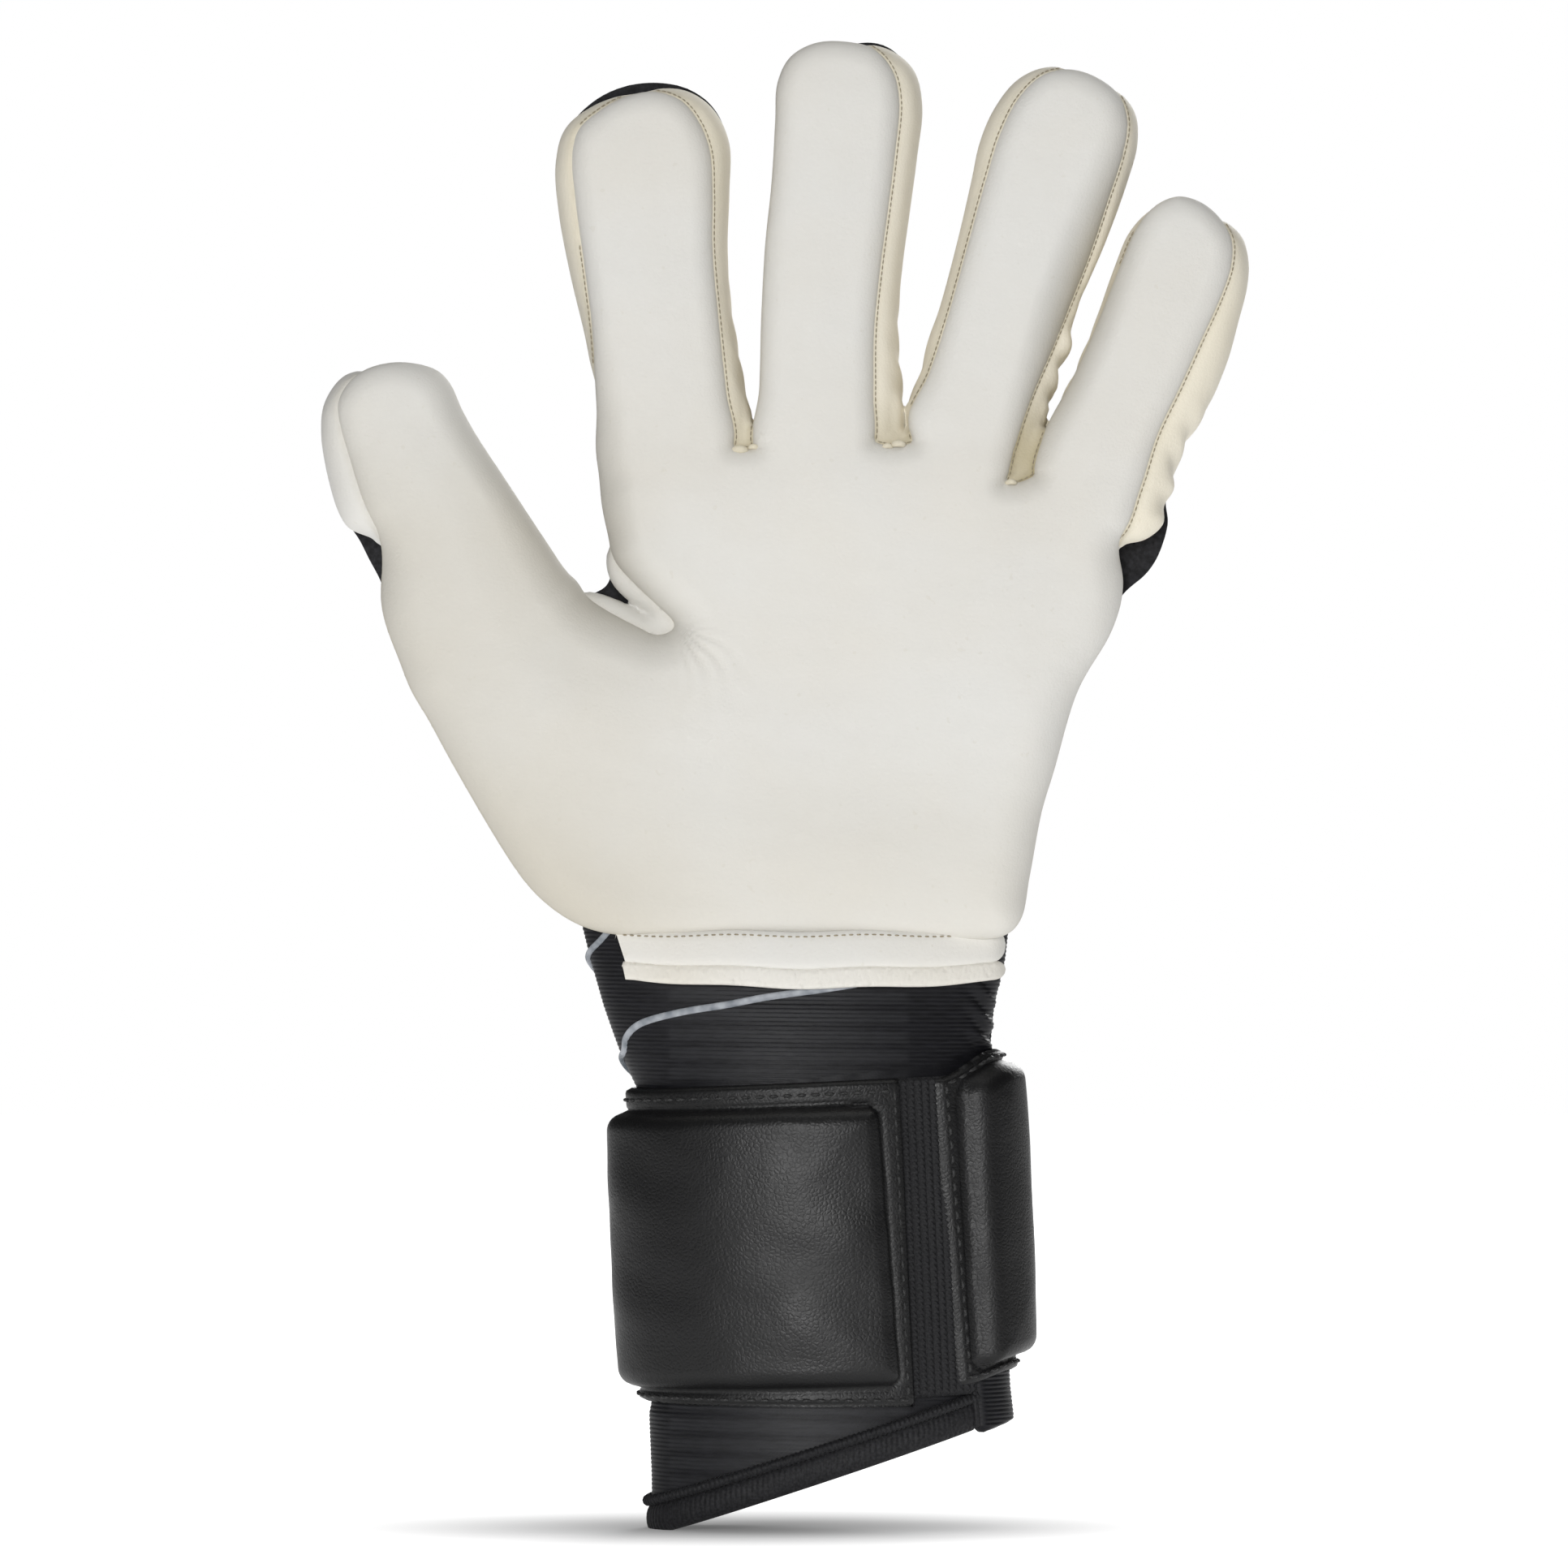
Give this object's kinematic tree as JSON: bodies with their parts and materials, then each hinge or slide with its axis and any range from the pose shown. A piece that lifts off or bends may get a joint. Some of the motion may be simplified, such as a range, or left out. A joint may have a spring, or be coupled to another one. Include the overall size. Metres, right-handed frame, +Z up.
{
  "type": "goalkeeper glove",
  "caption": "Left-hand goalkeeper glove with a latex palm, side gussets, knitted cuff and wrap-around padded wrist strap.",
  "frame": {"origin": "middle of the hand opening at the lower end of the cuff", "axes": "+Z up the glove towards the fingertips, -Y out of the palm, -X towards the thumb"},
  "size_m": [0.2106, 0.0545, 0.3308],
  "materials": {
    "palm_latex": "matte smooth latex foam, off-white",
    "gusset_latex": "matte latex foam, cream",
    "back_textile": "black stretch textile",
    "back_foam": "black embossed foam",
    "cuff_knit": "black ribbed knit",
    "cuff_binding": "black ribbed binding tape",
    "strap_elastic": "black woven elastic",
    "strap_leather": "black coated leather, satin",
    "strap_foam": "soft foam",
    "lining": "brushed jersey",
    "hook_and_loop": "hook and loop tape"
  },
  "bodies": {
    "hand": {"palm_latex": "palm_latex", "palm_hem_band": "palm_latex", "palm_hem_edge": "palm_latex", "palm_lining": "lining", "backhand_body": "back_textile", "backhand_pad": "back_foam", "backhand_lining": "lining", "thumb_side_panel": "palm_latex", "little_side_panel": "palm_latex", "thumb_web_gusset": "gusset_latex", "index_middle_web": "gusset_latex", "middle_ring_web": "gusset_latex", "ring_little_web": "gusset_latex", "wrist_gaiter": "cuff_knit", "cuff_sleeve": "cuff_knit", "cuff_binding": "cuff_binding", "cuff_edge_cord": "cuff_binding", "cuff_tab": "cuff_knit", "strap_anchor": "strap_elastic", "loop_patch": "hook_and_loop"},
    "index_lower": {"index_lower_latex": "palm_latex", "index_lower_gusset": "gusset_latex", "index_lower_back": "back_textile"},
    "index_upper": {"index_upper_latex": "palm_latex", "index_upper_gusset": "gusset_latex", "index_upper_back": "back_textile"},
    "middle_lower": {"middle_lower_latex": "palm_latex", "middle_lower_gusset": "gusset_latex", "middle_lower_back": "back_textile"},
    "middle_upper": {"middle_upper_latex": "palm_latex", "middle_upper_gusset": "gusset_latex", "middle_upper_back": "back_textile"},
    "ring_lower": {"ring_lower_latex": "palm_latex", "ring_lower_gusset": "gusset_latex", "ring_lower_back": "back_textile"},
    "ring_upper": {"ring_upper_latex": "palm_latex", "ring_upper_gusset": "gusset_latex", "ring_upper_back": "back_textile"},
    "little_lower": {"little_lower_latex": "palm_latex", "little_lower_gusset": "gusset_latex", "little_lower_back": "back_textile"},
    "little_upper": {"little_upper_latex": "palm_latex", "little_upper_gusset": "gusset_latex", "little_upper_back": "back_textile"},
    "thumb_lower": {"thumb_lower_latex": "palm_latex", "thumb_lower_gusset": "gusset_latex", "thumb_lower_back": "back_textile"},
    "thumb_upper": {"thumb_upper_latex": "palm_latex", "thumb_upper_gusset": "gusset_latex", "thumb_upper_back": "back_textile"},
    "strap_front": {"strap_front_backing": "lining", "strap_front_pad": "strap_foam", "strap_front_cover": "strap_leather"},
    "strap_side": {"strap_elastic": "strap_elastic", "strap_side_backing": "lining", "strap_side_pad": "strap_foam", "strap_side_cover": "strap_leather"},
    "strap_flap": {"strap_flap": "strap_leather", "hook_patch": "hook_and_loop"}
  },
  "joints": [
    {"name": "index_base_hinge", "type": "hinge", "parent": "hand", "child": "index_lower", "pos_m": [-0.0358, -0.012, 0.236], "axis": [1, 0, 0], "range_deg": [0, 70], "stiffness_Nm_per_rad": 0.02},
    {"name": "index_middle_hinge", "type": "hinge", "parent": "index_lower", "child": "index_upper", "pos_m": [-0.03909, -0.012, 0.269], "axis": [1, 0, 0], "range_deg": [0, 80], "stiffness_Nm_per_rad": 0.02},
    {"name": "middle_base_hinge", "type": "hinge", "parent": "hand", "child": "middle_lower", "pos_m": [-0.0006, -0.012, 0.237], "axis": [1, 0, 0], "range_deg": [0, 70], "stiffness_Nm_per_rad": 0.02},
    {"name": "middle_middle_hinge", "type": "hinge", "parent": "middle_lower", "child": "middle_upper", "pos_m": [0.00179, -0.012, 0.273], "axis": [1, 0, 0], "range_deg": [0, 80], "stiffness_Nm_per_rad": 0.02},
    {"name": "ring_base_hinge", "type": "hinge", "parent": "hand", "child": "ring_lower", "pos_m": [0.0324, -0.012, 0.2365], "axis": [0.9925, 0, -0.1219], "range_deg": [0, 70], "stiffness_Nm_per_rad": 0.02},
    {"name": "ring_middle_hinge", "type": "hinge", "parent": "ring_lower", "child": "ring_upper", "pos_m": [0.04159, -0.012, 0.26963], "axis": [0.9925, 0, -0.1219], "range_deg": [0, 80], "stiffness_Nm_per_rad": 0.02},
    {"name": "little_base_hinge", "type": "hinge", "parent": "hand", "child": "little_lower", "pos_m": [0.063, -0.012, 0.227], "axis": [0.9781, 0, -0.2079], "range_deg": [0, 65], "stiffness_Nm_per_rad": 0.02},
    {"name": "little_middle_hinge", "type": "hinge", "parent": "little_lower", "child": "little_upper", "pos_m": [0.07351, -0.012, 0.25237], "axis": [0.9781, 0, -0.2079], "range_deg": [0, 75], "stiffness_Nm_per_rad": 0.02},
    {"name": "thumb_base_hinge", "type": "hinge", "parent": "hand", "child": "thumb_lower", "pos_m": [-0.0796, -0.012, 0.1928], "axis": [0.9272, 0, 0.3746], "range_deg": [0, 45], "stiffness_Nm_per_rad": 0.02},
    {"name": "thumb_middle_hinge", "type": "hinge", "parent": "thumb_lower", "child": "thumb_upper", "pos_m": [-0.09147, -0.012, 0.21713], "axis": [0.9272, 0, 0.3746], "range_deg": [0, 60], "stiffness_Nm_per_rad": 0.02},
    {"name": "strap_front_hinge", "type": "hinge", "parent": "hand", "child": "strap_front", "pos_m": [-0.03669, 0.01325, 0.04688], "axis": [0.0454, 0, -0.999], "range_deg": [0, 14]},
    {"name": "strap_side_hinge", "type": "hinge", "parent": "strap_front", "child": "strap_side", "pos_m": [0.01687, -0.02083, 0.04932], "axis": [0.0454, 0, -0.999], "range_deg": [0, 100]},
    {"name": "strap_flap_hinge", "type": "hinge", "parent": "strap_side", "child": "strap_flap", "pos_m": [0.02864, 0.02083, 0.04985], "axis": [0.0454, 0, -0.999], "range_deg": [0, 92]}
  ],
  "couplings": [
    {"joint": "strap_side_hinge", "follows": "strap_front_hinge", "ratio": 7},
    {"joint": "strap_flap_hinge", "follows": "strap_front_hinge", "ratio": 6.5}
  ]
}
